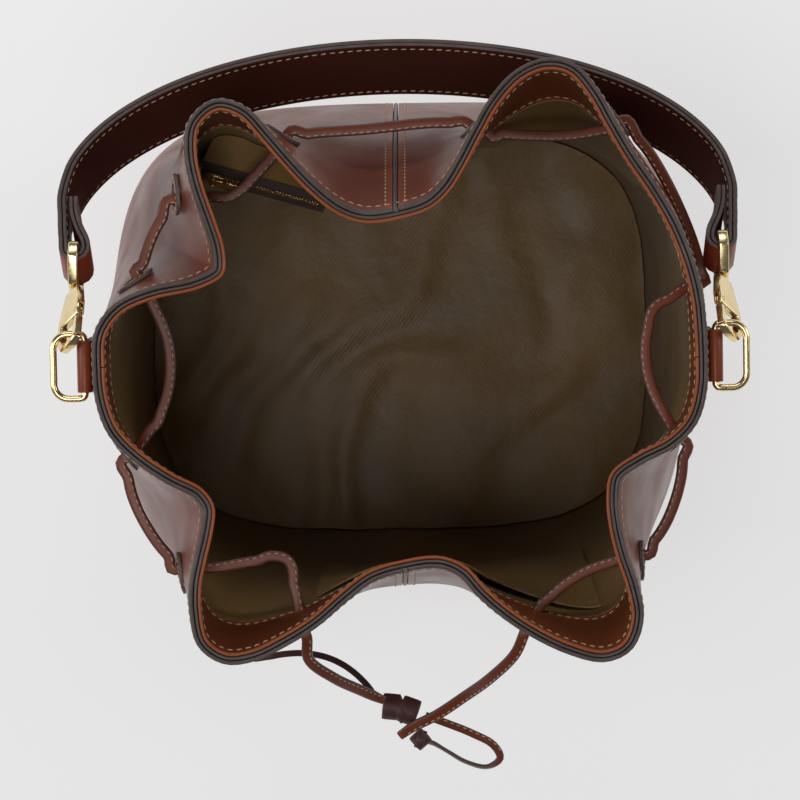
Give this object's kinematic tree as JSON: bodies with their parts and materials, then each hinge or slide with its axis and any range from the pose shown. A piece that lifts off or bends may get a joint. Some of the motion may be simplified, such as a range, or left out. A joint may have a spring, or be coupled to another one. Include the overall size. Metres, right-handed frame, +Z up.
{
  "type": "drawstring bucket bag",
  "caption": "Leather drawstring bucket bag with a pleated open mouth, threaded cord, knotted ties, lined pockets, side rings and a clip-on shoulder handle.",
  "frame": {"origin": "middle of the flat bottom, on the surface that the bag stands on", "axes": "+Z up, +X to the bag's right with the knotted ties at the front, +Y to the back where the handle hangs"},
  "size_m": [0.3096, 0.3444, 0.29],
  "materials": {
    "outer_leather": "smooth chestnut leather, soft sheen",
    "facing_leather": "orange-brown leather, matt",
    "edge_paint": "painted dark grey-brown leather edge",
    "lining_cloth": "olive-gold satin lining",
    "board": "pressed fibre board, hidden",
    "brass": "pale gold, faceted and polished",
    "cord_leather": "folded and stitched leather cord",
    "lace_leather": "thin dark leather",
    "zip_fabric": "dark woven zip tape"
  },
  "bodies": {
    "bag": {"outer_right": "outer_leather", "outer_left": "outer_leather", "front_welt": "edge_paint", "back_welt": "edge_paint", "rim_stiffener": "edge_paint", "facing_front": "facing_leather", "facing_back": "facing_leather", "lining_wall": "lining_cloth", "lining_floor": "lining_cloth", "base_panel": "outer_leather", "base_board": "board", "slot_patch_01": "outer_leather", "slot_patch_02": "outer_leather", "slot_patch_03": "outer_leather", "slot_patch_04": "outer_leather", "slot_patch_05": "outer_leather", "slot_patch_06": "outer_leather", "slot_patch_07": "outer_leather", "slot_patch_08": "outer_leather", "slot_patch_09": "outer_leather", "slot_patch_10": "outer_leather", "slot_patch_11": "outer_leather", "slot_patch_12": "outer_leather", "drawcord": "cord_leather", "cord_tail_left": "cord_leather", "cord_tail_right": "cord_leather", "cord_loop": "cord_leather", "cord_knot": "lace_leather", "cord_end_knob": "lace_leather", "lace_end": "lace_leather", "tab_right": "outer_leather", "tab_left": "outer_leather", "slip_pocket": "lining_cloth", "zip_pocket": "lining_cloth", "zip_tape": "zip_fabric", "zip_teeth": "brass"},
    "ring_right": {"d_ring_right": "brass"},
    "ring_left": {"d_ring_left": "brass"},
    "handle": {"handle_outer": "outer_leather", "handle_lining": "facing_leather", "strap_ring_right": "brass", "strap_ring_left": "brass", "swivel_post_right": "brass", "swivel_post_left": "brass"},
    "hook_right": {"hook_body_right": "brass", "gate_pin_right": "brass"},
    "hook_left": {"hook_body_left": "brass", "gate_pin_left": "brass"},
    "gate_right": {"hook_gate_right": "brass"},
    "gate_left": {"hook_gate_left": "brass"},
    "zip_slider": {"zip_slider": "brass"},
    "zip_pull": {"zip_pull": "brass"}
  },
  "joints": [
    {"name": "handle_swing", "type": "hinge", "parent": "bag", "child": "handle", "pos_m": [0, 0.01273, 0.2818], "axis": [1, 0, 0], "range_deg": [0, 120]},
    {"name": "ring_tilt_right", "type": "hinge", "parent": "bag", "child": "ring_right", "pos_m": [0.1394, 0, 0.28], "axis": [0, -1, 0], "range_deg": [0, 30]},
    {"name": "ring_tilt_left", "type": "hinge", "parent": "bag", "child": "ring_left", "pos_m": [-0.1394, 0, 0.28], "axis": [0, 1, 0], "range_deg": [0, 30]},
    {"name": "hook_swivel_right", "type": "hinge", "parent": "handle", "child": "hook_right", "pos_m": [0.14575, 0.01491, 0.27914], "axis": [-0.0436, 0.8184, -0.573], "range_deg": [0, 42]},
    {"name": "hook_swivel_left", "type": "hinge", "parent": "handle", "child": "hook_left", "pos_m": [-0.14575, 0.01491, 0.27914], "axis": [-0.0436, -0.8184, 0.573], "range_deg": [0, 42]},
    {"name": "gate_right", "type": "hinge", "parent": "hook_right", "child": "gate_right", "pos_m": [0.14167, 0.0248, 0.27944], "axis": [0.8454, 0.3359, 0.4153], "range_deg": [0, 10], "stiffness_Nm_per_rad": 0.02},
    {"name": "gate_left", "type": "hinge", "parent": "hook_left", "child": "gate_left", "pos_m": [-0.14167, 0.0248, 0.27944], "axis": [0.8454, -0.3359, -0.4153], "range_deg": [0, 10], "stiffness_Nm_per_rad": 0.02},
    {"name": "zip_slide", "type": "slide", "parent": "bag", "child": "zip_slider", "axis": [0.9592, -0.2826, 0], "range_m": [0, 0.042]},
    {"name": "zip_pull_hinge", "type": "hinge", "parent": "zip_slider", "child": "zip_pull", "pos_m": [-0.08378, 0.08021, 0.23502], "axis": [-0.1817, -0.6166, -0.766], "range_deg": [0, 110]}
  ],
  "couplings": [
    {"joint": "ring_tilt_right", "follows": "handle_swing", "ratio": 0.24},
    {"joint": "ring_tilt_left", "follows": "handle_swing", "ratio": 0.24},
    {"joint": "hook_swivel_right", "follows": "handle_swing", "ratio": 0.33},
    {"joint": "hook_swivel_left", "follows": "handle_swing", "ratio": 0.33}
  ]
}
